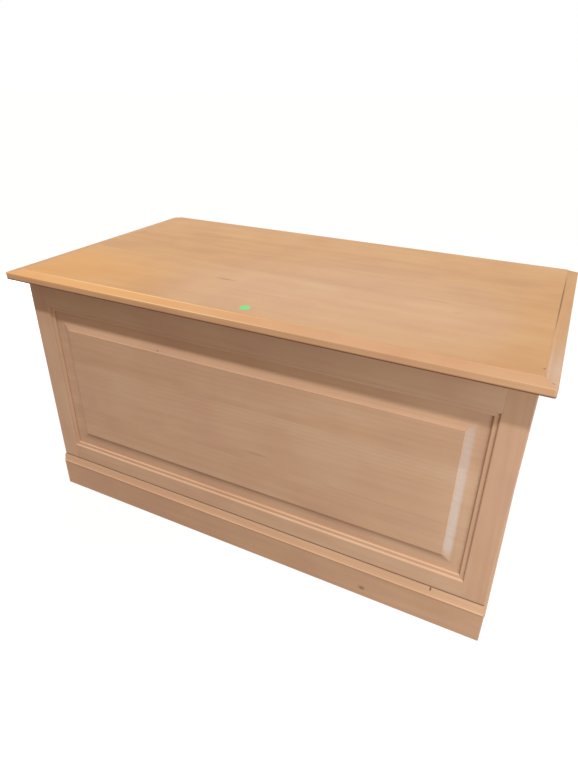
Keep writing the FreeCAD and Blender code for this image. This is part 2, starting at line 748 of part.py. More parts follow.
def drill(name, *holes):
    """Cut the holes of the screws that enter a piece; what was its body becomes the blank."""
    blank = parts[name]
    blank.Label = f"{name}_blank"
    for number, group in enumerate(holes, start=1):
        whole = doc.addObject("Part::Cut", f"{name}_drilled_{number}")
        whole.Base = parts[name]
        whole.Tool = group
        parts[name] = whole
    parts[name].Label = name


# ---- hinges ----------------------------------------------------------------------------------

def leaf_recess():
    """How deep a leaf is let in, so that half of the gap between the leaves is in each recess."""
    return size.leaf_thickness + size.leaf_gap / 2


def hinge_leaf(name, middle, on_lid):
    """A leaf with its plate in the wood and its share of the knuckles round the pin."""
    body = new_body(name)
    up = 1 if on_lid else -1
    levels = sorted((lid_base + up * size.leaf_gap / 2, lid_base + up * leaf_recess()),
                    key=lambda level: level.value)
    left = middle - size.hinge_length / 2
    right = middle + size.hinge_length / 2
    add(body, "XY", *levels, rectangle(left, back - size.leaf_width, right, back))
    pitch = (size.hinge_length + size.knuckle_gap) / KNUCKLES
    for number in range(1 if on_lid else 0, KNUCKLES, 2):
        start = left + number * pitch
        end = start + pitch - size.knuckle_gap
        add(body, "YZ", start, end, rectangle(back - PAST, levels[0], axis_y, levels[1]))
        add(body, "YZ", start, end, circles=[(axis_y, lid_base, size.knuckle_radius)])
    bore = size.pin_radius + size.pivot_clearance
    cut(body, "YZ", left - PAST, right + PAST, circles=[(axis_y, lid_base, bore)])


def hinge_pin(name, middle):
    half = size.hinge_length / 2
    add(new_body(name), "YZ", middle - half, middle + half, circles=[(axis_y, lid_base, size.pin_radius)])


# ---- lid stays -------------------------------------------------------------------------------

stud_y = axis_y - size.stay_radius * cosine(size.stay_stud_angle)
stud_z = lid_base - size.stay_radius * sine(size.stay_stud_angle)
rivet_y = axis_y - size.stay_radius * cosine(size.stay_pivot_angle)
rivet_z = lid_base - size.stay_radius * sine(size.stay_pivot_angle)
closed_reach = 2 * size.stay_radius * sine((size.stay_stud_angle - size.stay_pivot_angle) / 2)
open_reach = 2 * size.stay_radius * sine((size.stay_stud_angle - size.stay_pivot_angle
                                          + size.lid_open_angle) / 2)
plate_face = inside_side - size.sheet_thickness
arm_outer = plate_face - size.side_clearance
arm_inner = arm_outer - size.arm_thickness
ear_outer = arm_inner - size.side_clearance
ear_inner = ear_outer - size.sheet_thickness
foot_middle = ear_inner - size.bracket_foot / 2


def across(side, near, far):
    """The low and the high X of something that lies between two distances from the middle."""
    return sorted((side * near, side * far), key=lambda end: end.value)


def stay_arm(name, side):
    """The slotted arm, drawn hanging from its rivet and then leant back to the stud."""
    body = new_body(name)
    half = size.arm_width / 2
    far = open_reach + size.slot_end_margin - half
    slot_half = size.stud_radius + size.slot_clearance
    hole = size.rivet_radius + size.pivot_clearance
    x_range = across(side, arm_inner, arm_outer)
    add(body, "YZ", *x_range, rounded_bar(half, -far, sized(0)))
    cut(body, "YZ", *x_range, rounded_bar(slot_half, -open_reach, -closed_reach + size.slot_slack),
        circles=[(0, 0, hole)])
    lean = (size.stay_stud_angle + size.stay_pivot_angle) / 2
    place(body, 0, rivet_y, rivet_z, axis=(1, 0, 0), turn=lean)


def stay_stud(name, side):
    """The plate on the rail, and its stud: a neck for the slot and a head that keeps the arm on."""
    body = new_body(name)
    long_half = size.stud_plate_length / 2
    wide_half = size.stud_plate_width / 2
    neck_end = arm_inner - size.side_clearance
    add(body, "YZ", *across(side, plate_face, inside_side),
        rectangle(stud_y - long_half, stud_z - wide_half, stud_y + long_half, stud_z + wide_half))
    for near, far, radius in ((neck_end, plate_face, size.stud_radius),
                              (neck_end - size.stud_head_height, neck_end, size.stud_head_radius)):
        add(body, "YZ", *across(side, near, far), circles=[(stud_y, stud_z, radius)])


def stay_bracket(name, side):
    """The bracket under the lid: a foot for two screws and an ear round the rivet."""
    body = new_body(name)
    long_half = size.bracket_length / 2
    low = lid_base - size.sheet_thickness
    foot_x = across(side, ear_inner - size.bracket_foot, ear_outer)
    add(body, "XY", low, lid_base,
        rectangle(foot_x[0], rivet_y - long_half, foot_x[1], rivet_y + long_half))
    small = size.bracket_ear_radius
    root = size.bracket_ear_root / 2
    ear = [(rivet_y + small, rivet_z), (rivet_y + root, low), (rivet_y + root, lid_base),
           (rivet_y - root, lid_base), (rivet_y - root, low), (rivet_y - small, rivet_z),
           Arc(small), (rivet_y, rivet_z - small), Arc(small)]
    ear_x = across(side, ear_inner, ear_outer)
    add(body, "YZ", *ear_x, ear)
    hole = size.rivet_radius + size.pivot_clearance
    cut(body, "YZ", ear_x[0], ear_x[1], circles=[(rivet_y, rivet_z, hole)])


def stay_rivet(name, side):
    """From the head beside the arm to the tail closed over the ear."""
    body = new_body(name)
    seat = arm_outer + size.side_clearance
    shank, head = size.rivet_radius, size.rivet_head_radius
    for near, far, radius in ((ear_inner, seat, shank), (seat, seat + size.rivet_head_height, head),
                              (ear_inner - size.rivet_head_height, ear_inner, head)):
        add(body, "YZ", *across(side, near, far), circles=[(rivet_y, rivet_z, radius)])


def stays():
    for word, side in (("left", -1), ("right", 1)):
        stay_arm(f"{word}_stay_arm", side)
        stay_stud(f"{word}_stay_stud", side)
        stay_bracket(f"{word}_stay_bracket", side)
        stay_rivet(f"{word}_stay_rivet", side)


# ---- the whole chest -------------------------------------------------------------------------

def hinges():
    recess_back_rail()
    for word, side in (("left", -1), ("right", 1)):
        middle = side * size.hinge_place
        hinge_leaf(f"{word}_hinge_carcass_leaf", middle, False)
        hinge_leaf(f"{word}_hinge_lid_leaf", middle, True)
        hinge_pin(f"{word}_hinge_pin", middle)


def recess_back_rail():
    """Let the carcass leaves into the top of the back rail, which is drawn in its own frame."""
    body = parts["back_top_rail"]
    for middle in (-size.hinge_place, size.hinge_place):
        low_x = middle - size.hinge_length / 2 - size.leaf_clearance
        high_x = middle + size.hinge_length / 2 + size.leaf_clearance
        recess = rectangle(low_x, -PAST, high_x, size.leaf_width + size.leaf_clearance)
        cut(body, "XY", size.frame_height - leaf_recess(), size.frame_height + PAST, recess)


def screw_row(pitch, count):
    """Places along a line, evenly about its middle."""
    return [(number - (count - 1) / 2) * pitch for number in range(count)]


def fasten():
    """Drive the screws: each group drills the pieces that it goes through and into."""
    sides = (-1, 1)
    leaf_row = back - size.leaf_width / 2
    half_gap = size.leaf_gap / 2
    leaf_places = [(side * size.hinge_place + x, leaf_row)
                   for side in sides for x in screw_row(size.hinge_screw_pitch, 3)]
    rail_holes = screws("hinge_carcass_screws",
                        [((x, y, lid_base - half_gap), "down") for x, y in leaf_places],
                        size.rail_screw_length)
    leaf_holes = screws("hinge_lid_screws",
                        [((x, y, lid_base + half_gap), "up") for x, y in leaf_places],
                        size.lid_screw_length)
    stud_holes = screws("stay_carcass_screws",
                        [((side * plate_face, stud_y + y, stud_z), "right" if side > 0 else "left")
                         for side in sides for y in screw_row(size.stud_screw_pitch, 2)],
                        size.rail_screw_length)
    foot_level = lid_base - size.sheet_thickness
    bracket_holes = screws("stay_lid_screws",
                           [((side * foot_middle, rivet_y + y, foot_level), "up")
                            for side in sides for y in screw_row(size.bracket_screw_pitch, 2)],
                           size.lid_screw_length)
    batten_level = lid_base - size.batten_thickness
    batten_holes = screws("lid_batten_screws",
                          [((side * size.batten_place, (front + back) / 2 + y, batten_level), "up")
                           for side in sides for y in screw_row(size.batten_screw_pitch, 2)],
                          size.batten_screw_length)
    drill("back_top_rail", rail_holes)
    drill("lid_panel", leaf_holes, bracket_holes, batten_holes)
    for word in ("left", "right"):
        drill(f"{word}_hinge_carcass_leaf", rail_holes)
        drill(f"{word}_hinge_lid_leaf", leaf_holes)
        drill(f"{word}_top_rail", stud_holes)
        drill(f"{word}_stay_stud", stud_holes)
        drill(f"{word}_stay_bracket", bracket_holes)
        drill(f"lid_{word}_batten", batten_holes)


def build():
    frames()
    plinth()
    floor()
    lid_panel()
    lid_mouldings()
    lid_battens()
    hinges()
    stays()
    fasten()
    doc.recompute()


def check_and_write():
    """Stop on any failed feature, a pocket that cuts nothing or a bad shape; then write the parts."""
    for item in doc.Objects:
        if "Invalid" in item.State or "Error" in item.State:
            raise RuntimeError(f"{item.Label} failed: {item.State}")
        if item.TypeId == "PartDesign::Pocket":
            before = item.BaseFeature.Shape.Volume
            if before - item.Shape.Volume < LEAST_CUT:
                raise RuntimeError(f"{item.Label} cuts nothing")
    os.makedirs("parts", exist_ok=True)
    for name, item in sorted(parts.items()):
        shape = item.Shape
        if shape.isNull() or not shape.isValid():
            raise RuntimeError(f"{name} has a bad shape")
        shape.exportStep(os.path.join("parts", f"{name}.step"))
        print(f"{name:28s} solids {len(shape.Solids):2d}  volume {shape.Volume / 1000:9.2f} cm3")
    print(len(parts), "nodes")


build()
check_and_write()
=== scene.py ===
# %% [markdown]
# # A blanket chest in varnished pine
#
# This lesson finishes a blanket chest in Blender: a frame-and-panel box on a plinth, with a
# moulded lid. The joiner's model arrives complete, with every board, hinge leaf and screw at its
# true size, so the work here is what the eye meets: the figure of the pine, the varnish, the
# metal, the eased edges and the light. One unit is a metre. The chest stands on the floor at Z 0
# and faces -Y. Right is +X, as for someone who stands in front of it, and the origin lies below
# its middle.

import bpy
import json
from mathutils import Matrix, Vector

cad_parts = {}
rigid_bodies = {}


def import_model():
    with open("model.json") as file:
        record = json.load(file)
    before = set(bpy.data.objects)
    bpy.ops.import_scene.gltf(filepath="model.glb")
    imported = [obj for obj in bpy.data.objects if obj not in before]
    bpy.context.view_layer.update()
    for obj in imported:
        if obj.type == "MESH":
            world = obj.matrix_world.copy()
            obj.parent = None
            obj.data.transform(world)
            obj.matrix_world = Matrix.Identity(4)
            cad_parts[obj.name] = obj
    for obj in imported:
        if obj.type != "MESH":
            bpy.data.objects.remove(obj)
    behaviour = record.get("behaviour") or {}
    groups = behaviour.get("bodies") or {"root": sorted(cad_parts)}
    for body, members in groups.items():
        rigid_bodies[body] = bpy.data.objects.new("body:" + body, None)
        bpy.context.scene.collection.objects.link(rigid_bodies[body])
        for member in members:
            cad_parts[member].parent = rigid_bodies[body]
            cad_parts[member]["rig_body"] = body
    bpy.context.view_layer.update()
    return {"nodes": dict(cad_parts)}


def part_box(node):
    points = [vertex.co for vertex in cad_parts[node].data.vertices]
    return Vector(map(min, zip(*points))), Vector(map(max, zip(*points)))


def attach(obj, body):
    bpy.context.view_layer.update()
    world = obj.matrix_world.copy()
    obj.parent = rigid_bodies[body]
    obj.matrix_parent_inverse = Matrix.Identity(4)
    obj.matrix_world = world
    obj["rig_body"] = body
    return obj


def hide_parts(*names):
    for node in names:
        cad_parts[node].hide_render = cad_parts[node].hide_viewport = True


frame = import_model()
pieces = frame["nodes"]

# %% [markdown]
# ## Colours and nodes
# A colour chart gives sRGB values, while a shader adds up light, so each colour is written here as
# sRGB hex and turned to linear once. A material could be joined up by hand in the node editor. In
# a script one small function that adds a node with its settings and links does the same, and
# every material below then reads as a list of such nodes.

# %% Two helpers
import bpy


def linear(colour):
    """An sRGB hex colour such as "D6A87D" as the linear RGBA that a shader takes."""
    parts = [int(colour[place:place + 2], 16) / 255 for place in (0, 2, 4)]
    return [part / 12.92 if part <= 0.04045 else ((part + 0.055) / 1.055) ** 2.4
            for part in parts] + [1.0]


def node(tree, kind, inputs=(), **settings):
    """Adds a node. An input is a value, a socket, or a node, which stands for its first output."""
    added = tree.nodes.new("ShaderNode" + kind)
    for name, value in settings.items():
        setattr(added, name, value)
    for name, value in dict(inputs).items():
        if isinstance(name, int):
            socket = added.inputs[name]
        else:
            socket = next(found for found in added.inputs if found.enabled and found.name == name)
        if isinstance(value, bpy.types.Node):
            value = next(found for found in value.outputs if found.enabled)
        if isinstance(value, bpy.types.NodeSocket):
            tree.links.new(value, socket)
        else:
            socket.default_value = value
    return added


print("honey pine in linear light:", linear("D6A87D"))

# %% [markdown]
# ## The figure of pine
# Pine shows pale early wood and darker late wood, one pair a year, in rings about the pith of the
# trunk. A board is a slice beside the pith, so its face shows the rings as long stripes and
# arches, its edge shows them as lines and its end as arcs. A picture wrapped round the board can't
# do that. A solid pattern can: the rings are made in space, in a trunk that lies along X, and
# each board only has to say where in the trunk it was sawn. All boards share this one node group.

# %% Sizes in the wood, in metres
import math

RING = 0.0065            # a year's growth, 2 to 4 mm in such pine, drawn wider so that it shows
FIBRE = 0.0022           # a bundle of fibres, under 1 mm in the wood, drawn coarser as well
STREAK = 0.030           # a soft light or dark streak
BLOTCH = 0.10            # a patch that took the varnish unevenly
WANDER = 0.16            # how far across the trunk it takes for the rings to bend
BEND = 0.035             # and how far they bend
ALONG = 8.0              # everything is drawn out this much along the grain
FIBRE_ALONG = 30.0       # and the fibres more
LATE_NARROWED = 1.8      # above 1, the dark part of a ring is narrower than the pale part

PALE, HONEY, LATE = "ECC8A4", "DAAB84", "B2835B"    # early wood, the usual tone, late wood
FLUSH, FLUSH_SHARE = "D5A286", 0.35                 # a pinker tone that comes and goes

# %% The node group
figure = bpy.data.node_groups.new("figure of pine", "ShaderNodeTree")
figure.interface.new_socket("Trunk", in_out="INPUT", socket_type="NodeSocketVector")
figure.interface.new_socket("Tone", in_out="INPUT", socket_type="NodeSocketFloat")
figure.interface.new_socket("Colour", in_out="OUTPUT", socket_type="NodeSocketColor")
figure.interface.new_socket("Roughness", in_out="OUTPUT", socket_type="NodeSocketFloat")
figure.interface.new_socket("Height", in_out="OUTPUT", socket_type="NodeSocketFloat")
given = figure.nodes.new("NodeGroupInput")

# %% Rings, fibres, streaks and blotches
drawn_out = node(figure, "VectorMath", {0: given.outputs["Trunk"], 1: (1 / ALONG, 1, 1)},
                 operation="MULTIPLY")
wandering = node(figure, "TexNoise", {"Vector": drawn_out, "Scale": 1 / WANDER, "Detail": 1.0})
centred = node(figure, "VectorMath", {0: wandering.outputs["Color"], 1: (0.5, 0.5, 0.5)},
               operation="SUBTRACT")
bend = node(figure, "VectorMath", {0: centred, "Scale": BEND}, operation="SCALE")
bent = node(figure, "VectorMath", {0: drawn_out, 1: bend}, operation="ADD")

# A wave texture's rings repeat every pi / (10 x scale), so this scale makes them a year apart.
years = node(figure, "TexWave", {"Vector": bent, "Scale": math.pi / (10 * RING), "Distortion": 1.0,
                                 "Detail": 2.0, "Detail Scale": 0.3},
             wave_type="RINGS", rings_direction="X", wave_profile="SIN")
late = node(figure, "Math", {0: years, 1: LATE_NARROWED}, operation="POWER")
fibre_place = node(figure, "VectorMath", {0: given.outputs["Trunk"], 1: (1 / FIBRE_ALONG, 1, 1)},
                   operation="MULTIPLY")
fibres = node(figure, "TexNoise", {"Vector": fibre_place, "Scale": 1 / FIBRE, "Detail": 2.0})
streaks = node(figure, "TexNoise", {"Vector": drawn_out, "Scale": 1 / STREAK, "Detail": 3.0})
blotches = node(figure, "TexNoise", {"Vector": given.outputs["Trunk"], "Scale": 1 / BLOTCH,
                                     "Detail": 2.0})

# %% [markdown]
# ## Adding up the tone
# Each part of the figure could be painted in its own colour and mixed. Wood is simpler than that:
# ring, fibre and streak all make it a little deeper or paler on one scale, so their weights are
# added to one number, and one colour ramp from pale to late wood turns that number to colour.

# %% Weights of rings, streaks, fibres and blotches
depth = node(figure, "Math", {0: given.outputs["Tone"], 1: 0.5}, operation="ADD")
for part, weight in ((late, 0.035), (streaks, 0.34), (fibres, 0.06), (blotches, 0.22)):
    swing = node(figure, "Math", {0: part, 1: 0.5}, operation="SUBTRACT")
    depth = node(figure, "Math", {0: swing, 1: weight, 2: depth}, operation="MULTIPLY_ADD")

tones = node(figure, "ValToRGB", {"Fac": depth})
ramp = tones.color_ramp.elements
ramp[0].color, ramp[1].color = linear(PALE), linear(LATE)
ramp.new(0.5).color = linear(HONEY)
flush_amount = node(figure, "MapRange", {"Value": blotches, "From Min": 0.45, "From Max": 0.75,
                                         "To Max": FLUSH_SHARE})
colour = node(figure, "Mix", {"Factor": flush_amount, "A": tones, "B": linear(FLUSH)},
              data_type="RGBA")

# Varnish sinks a little where the wood is soft, so the blotches are also the duller places.
dull = node(figure, "MapRange", {"Value": blotches, "To Min": 0.36, "To Max": 0.56})
relief = node(figure, "Math", {0: fibres, 1: 0.4, 2: late}, operation="MULTIPLY_ADD")

taken = figure.nodes.new("NodeGroupOutput")
figure.links.new(next(found for found in colour.outputs if found.enabled), taken.inputs["Colour"])
figure.links.new(dull.outputs["Result"], taken.inputs["Roughness"])
figure.links.new(relief.outputs["Value"], taken.inputs["Height"])
print("the figure has", len(figure.nodes), "nodes")

# %% [markdown]
# ## One board, one place in the trunk
# A joiner cuts every member with the grain along its length, so the longest side of a board is its
# grain and the shortest its thickness. Wide parts, such as the lid and the panels, are glued up
# from staves about 110 mm wide, each from another place in the trunk.
#
# Small marks such as a pin knot are too few to be left to chance, so their places are listed one
# by
# one. Some marks are painted light: painted shade in the joint above the plinth, along the lower
# arris of the lid and in the quirk at its right, a pale band of painted light on the plinth's
# moulding, and painted highlights on the two upper arrises at the front of the lid. Painted warm
# light lies on the lid's left end. A mark is an ellipsoid, and one that is metres long is a line.

# %% Marks in the wood, in millimetres: centre, half size, strength and colour
KNOT_AND_SHADE = "6E4327"                              # knots and cracks, and painted shade along joints, arrises and a quirk
PAINTED_MOULDING_LIGHT, PAINTED_ARRIS_HIGHLIGHT = "F6C294", "FFE6BC"            # painted light on the plinth's moulding, and painted highlights on the lid's front arrises
# painted warm light on the left end of the lid
PAINTED_WARM_LIGHT, PAINTED_WARM_LIGHT_DEEP = "FBC47C", "F1B16B"
LONG = 4000               # longer than the chest, so that the mark is a line along it
MARKS = {
    # painted light: the pale band on the plinth's moulding, here and at both ends
    "plinth_front": [((0, -246, 74), (LONG, 12, 9), 0.5, PAINTED_MOULDING_LIGHT),
                     ((265, -248, 21), (8.5, 9, 6.5), 0.55, KNOT_AND_SHADE),
                     ((388.5, -246, 79.5), (2.2, 9, 5), 1.0, KNOT_AND_SHADE)],
    "plinth_left": [((-482, 0, 74), (12, LONG, 9), 0.5, PAINTED_MOULDING_LIGHT)],
    "plinth_right": [((482, 0, 74), (12, LONG, 9), 0.5, PAINTED_MOULDING_LIGHT)],
    # painted warm light on the left end of the lid
    "lid_panel": [((-440, -190, 531), (280, 170, 9), 0.45, PAINTED_WARM_LIGHT_DEEP),
                  ((332, -79, 531), (9, 1.8, 4), 0.35, KNOT_AND_SHADE),
                  ((-97, -114, 531), (30, 5, 4), 0.3, KNOT_AND_SHADE),
                  ((479, -228, 531), (3, 3, 4), 0.6, KNOT_AND_SHADE)],
    # painted shade along the lower arris of the lid
    "lid_front_moulding": [((0, -277, 514.5), (LONG, 3, 4), 1.0, KNOT_AND_SHADE),
                           # painted warm light on the left end of the lid's front strip
                           ((-340, -262, 529), (520, 40, 9), 0.6, PAINTED_WARM_LIGHT),
                           # painted highlights along the quirk and along the upper arris of the
                           # lid's front
                           ((-210, -251.3, 530), (340, 2.2, 4), 0.75, PAINTED_ARRIS_HIGHLIGHT),
                           ((-110, -275.8, 528.5), (260, 2.4, 3), 0.65, PAINTED_ARRIS_HIGHLIGHT)],
    # painted shade along the lower arris at each end of the lid
    "lid_left_moulding": [((-500, 0, 514.5), (3, LONG, 4), 1.0, KNOT_AND_SHADE)],
    "lid_right_moulding": [((500, 0, 514.5), (3, LONG, 4), 1.0, KNOT_AND_SHADE),
                           ((493, -263, 528), (3, 2.5, 4), 0.6, KNOT_AND_SHADE),
                           # painted shade in the quirk beside the field, towards the back
                           ((481, 70, 530), (2.2, 190, 3), 0.7, KNOT_AND_SHADE)],
    "front_panel": [((-172, -240, 417), (2.6, 6, 1.8), 0.7, KNOT_AND_SHADE),
                    ((35, -243, 252), (34, 6, 3), 0.22, KNOT_AND_SHADE)],
}
PAINTED_JOINT_SHADE = ((0, 0, 82.5), (LONG, LONG, 4.5), 1.0, KNOT_AND_SHADE)      # painted shade in the joint above the plinth, all round
STANDS_ON_PLINTH = ("stile", "bottom_rail")
print(sum(len(marks) for marks in MARKS.values()), "marks on", len(MARKS), "boards")

# %% A mark, as an ellipsoid of another colour
MARK_CORE = 0.3           # full strength up to this share of its half size


def marks_on(name):
    """The marks of a board, with the painted shade of the joint if the board stands on the plinth.
    """
    return MARKS.get(name, []) + ([PAINTED_JOINT_SHADE] if name.endswith(STANDS_ON_PLINTH) else [])


def mark(tree, colour, place, centre, half_size, strength, shade):
    """Mixes a shade into a colour inside an ellipsoid, with a soft edge."""
    offset = node(tree, "VectorMath", {0: place, 1: [side / 1000 for side in centre]},
                  operation="SUBTRACT")
    share = node(tree, "VectorMath", {0: offset, 1: [side / 1000 for side in half_size]},
                 operation="DIVIDE")
    far = node(tree, "VectorMath", {0: share}, operation="LENGTH")
    amount = node(tree, "MapRange", {"Value": far.outputs["Value"], "From Min": MARK_CORE,
                                     "To Min": strength, "To Max": 0.0})
    return node(tree, "Mix", {"Factor": amount, "A": colour, "B": linear(shade)}, data_type="RGBA")


# %% The place of a board in the trunk
import random

STAVE = 0.11
WIDEST_BOARD = 0.2        # a wider one is glued up from staves
TRUNK = 9.0               # length of trunk to cut from
NEAR_PITH, FAR_FROM_PITH = 0.03, 0.08
OFF_MIDDLE = 0.3          # how far the pith may lie to one side, as a share of the width
SLOPE = 1.2               # degrees, between the grain and the edges of a board
TONES = 0.1               # how much deeper or paler a board may be
BORDER_TONE = -0.16       # the strip along the front of the lid is drawn paler


def in_trunk(tree, name, place):
    """Trunk coordinates and tone of a board, from its box and a draw that its name seeds."""
    low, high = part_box(name)
    sides = high - low
    grain, width, thickness = sorted(range(3), key=lambda side: -sides[side])
    draw = random.Random(name)
    split = node(tree, "SeparateXYZ", {0: place})
    turned = node(tree, "CombineXYZ", {"X": split.outputs[grain], "Y": split.outputs[width],
                                       "Z": split.outputs[thickness]})
    middle = (low + high) / 2
    beside_pith = (draw.uniform(0, TRUNK),
                   draw.uniform(-OFF_MIDDLE, OFF_MIDDLE) * sides[width] - middle[width],
                   draw.choice((-1, 1)) * draw.uniform(NEAR_PITH, FAR_FROM_PITH)
                   - middle[thickness])
    slope = [math.radians(draw.uniform(-SLOPE, SLOPE)) for _ in range(3)]
    tone = BORDER_TONE if name == "lid_front_moulding" else draw.uniform(-TONES, TONES)
    if sides[width] > WIDEST_BOARD:
        turned, tone = glued_up(tree, turned, low[width], sides[width])
        beside_pith = (beside_pith[0], -low[width] - STAVE / 2, beside_pith[2])
    trunk = node(tree, "Mapping", {"Vector": turned, "Location": beside_pith, "Rotation": slope})
    return trunk, tone


# %% Staves glued edge to edge
STAVE_MOVES = (7.0, 0.06, 0.03)      # at most, along the trunk, across it and away from the pith
STAVE_TONES = 0.05


def glued_up(tree, turned, edge, width):
    """Moves each stave to a place of its own in the trunk, and gives it a tone."""
    pitch = width / round(width / STAVE)
    across = node(tree, "SeparateXYZ", {0: turned})
    counted = node(tree, "Math", {0: across.outputs["Y"], 1: 1 / pitch, 2: -edge / pitch},
                   operation="MULTIPLY_ADD")
    number = node(tree, "Math", {0: counted}, operation="FLOOR")
    chance = node(tree, "TexWhiteNoise", {"W": number}, noise_dimensions="1D")
    own_place = node(tree, "VectorMath", {0: chance.outputs["Color"], 1: STAVE_MOVES},
                     operation="MULTIPLY")
    back = node(tree, "Math", {0: number, 1: -pitch}, operation="MULTIPLY")
    to_first = node(tree, "CombineXYZ", {"Y": back})
    moved = node(tree, "VectorMath", {0: turned, 1: own_place}, operation="ADD")
    moved = node(tree, "VectorMath", {0: moved, 1: to_first}, operation="ADD")
    tone = node(tree, "MapRange", {"Value": chance, "To Min": -STAVE_TONES, "To Max": STAVE_TONES})
    return moved, tone


# %% [markdown]
# ## Varnished pine and bare pine
# What shows was sanded, stained a warm tone and sprayed with a satin varnish. To the eye that is a
# soft broad gloss over a colour that stays saturated, with barely any relief. The floor boards,
# cleats, battens and glue blocks are inside or underneath, so they were only planed: paler, dry
# and matt.
#
# The gloss could be the shader's own, but that lays a white veil over every face seen at a slant.
# A clear coat stands for the varnish instead, because that is what it is, and the wood under it
# gives no gloss of its own. One tint for each part is multiplied in as painted light: warm on the
# lid, rosier on its front strip, and cooler on the rest.

# %% The two finishes
PAINTED_LIGHT_TINTS = {"lid_front": "F0E6DB", "lid": "F3F1DB", "": "F1F6FF"}      # painted light, by how the name begins: warm on the lid, rosier on its front strip, cooler elsewhere
BARE_TONE = -0.22         # wood that was never stained
COAT, COAT_ROUGHNESS = 0.25, 0.18
BARE_GLOSS, BARE_ROUGHNESS = 0.3, 0.75
PORES, PLANED = 0.0002, 0.0005       # depth of the relief in metres, varnished and bare


def pine(name, varnished):
    """Gives a board its own material, varnished or bare."""
    material = bpy.data.materials.new(f"{'varnished' if varnished else 'bare'}_pine_{name}")
    material.use_nodes = True
    tree = material.node_tree
    tree.nodes.clear()
    place = node(tree, "TexCoord").outputs["Object"]
    trunk, tone = in_trunk(tree, name, place)
    sawn = node(tree, "Group", {"Trunk": trunk, "Tone": tone if varnished else BARE_TONE},
                node_tree=figure)
    colour = sawn.outputs["Colour"]
    for centre, half_size, strength, shade in marks_on(name):
        colour = mark(tree, colour, place, centre, half_size, strength, shade)
    tint = next(tint for start, tint in PAINTED_LIGHT_TINTS.items() if name.startswith(start))
    colour = node(tree, "Mix", {"Factor": 1.0, "A": colour, "B": linear(tint)}, data_type="RGBA",
                  blend_type="MULTIPLY")
    relief = node(tree, "Bump", {"Height": sawn.outputs["Height"], "Strength": 0.25,
                                 "Distance": PORES if varnished else PLANED})
    if varnished:
        finish = {"Roughness": sawn.outputs["Roughness"], "Specular IOR Level": 0.0,
                  "Coat Weight": COAT, "Coat Roughness": COAT_ROUGHNESS}
    else:
        finish = {"Roughness": BARE_ROUGHNESS, "Specular IOR Level": BARE_GLOSS}
    surface = node(tree, "BsdfPrincipled", {"Base Color": colour, "Normal": relief, **finish})
    node(tree, "OutputMaterial", {"Surface": surface})
    pieces[name].material_slots[0].material = material


# %% Finish every board
UNSEEN = ("floor", "batten", "glue_blocks", "plinth_back")
boards = [name for name, piece in pieces.items()
          if piece.material_slots[0].name.startswith("pine")]
for name in boards:
    pine(name, varnished=not any(word in name for word in UNSEEN))
print(len(boards), "boards finished")

# %% [markdown]
# ## Hinge brass and stay steel
# The hinges are rolled brass that has hung for years: yellow metal with a browner bloom, and
# fine lines from the rolls. The stays are steel strip with a bright zinc plating, which is paler
# and a little cloudy. Both are true metals, so the colour is the colour of the reflection.

# %% A metal with a cloudy tone and rolling lines
ROLLED = (1.0, 0.06, 1.0)            # draws the lines out along Y


def metal(name, bright, dull, roughness, cloud, line):
    """A metal between two tones, in clouds of one size, scored by lines of another."""
    material = bpy.data.materials.new(name)
    material.use_nodes = True
    tree = material.node_tree
    tree.nodes.clear()
    place = node(tree, "TexCoord").outputs["Object"]
    clouds = node(tree, "TexNoise", {"Vector": place, "Scale": 1 / cloud, "Detail": 4.0})
    spread = node(tree, "MapRange", {"Value": clouds, "From Min": 0.3, "From Max": 0.7})
    drawn = node(tree, "VectorMath", {0: place, 1: ROLLED}, operation="MULTIPLY")
    lines = node(tree, "TexNoise", {"Vector": drawn, "Scale": 1 / line, "Detail": 2.0})
    tone = node(tree, "Mix", {"Factor": spread, "A": linear(bright), "B": linear(dull)},
                data_type="RGBA")
    matt = node(tree, "MapRange", {"Value": lines, "To Min": roughness - 0.08,
                                   "To Max": roughness + 0.12})
    relief = node(tree, "Bump", {"Height": lines, "Strength": 0.2, "Distance": 0.00005})
    surface = node(tree, "BsdfPrincipled", {"Base Color": tone, "Metallic": 1.0, "Roughness": matt,
                                            "Normal": relief})
    node(tree, "OutputMaterial", {"Surface": surface})
    return material


# %% Brass and zinc-plated steel
METALS = {
    "brass": metal("rolled_brass", "D2AE66", "A07C40", roughness=0.34, cloud=0.012, line=0.0006),
    "steel": metal("zinc_plated_steel", "C4C7C9", "9FA3A6", roughness=0.36, cloud=0.006,
                   line=0.0008),
}
fittings = {name: piece.material_slots[0].name.split(".")[0]
            for name, piece in pieces.items() if name not in boards}
for name, kind in fittings.items():
    pieces[name].material_slots[0].material = METALS[kind]
print(fittings)

# %% [markdown]
# ## Eased edges
# No edge of a sanded chest is sharp. The hand takes the arris off with a few strokes of
# sandpaper, and that thin round line catches the light and draws every joint. Cutting it into
# the model would add thousands of faces to the joiner's drawing, so it is added here, by
# modifiers: join the corners, merge flat faces, bevel what is still sharp, then even the shading.
#
# A raised panel needs one more. Its coved edges meet in mitres that are nearly flat, and even
# shading would run round them, so the mesh is first parted wherever it turns by more than a cove
# does from one strip to the next.

# %% Ease the edges of every piece
ARRIS = {"lid": 0.0003, "plinth": 0.0005, "floor": 0.001, "hinge": 0.0002, "stay": 0.0002}
JOINERY_ARRIS = 0.0003
TOUCHING = 1e-6           # corners this near are one
FLAT, COVE_STEP, SHARP = 0.5, 10, 35      # degrees between two faces


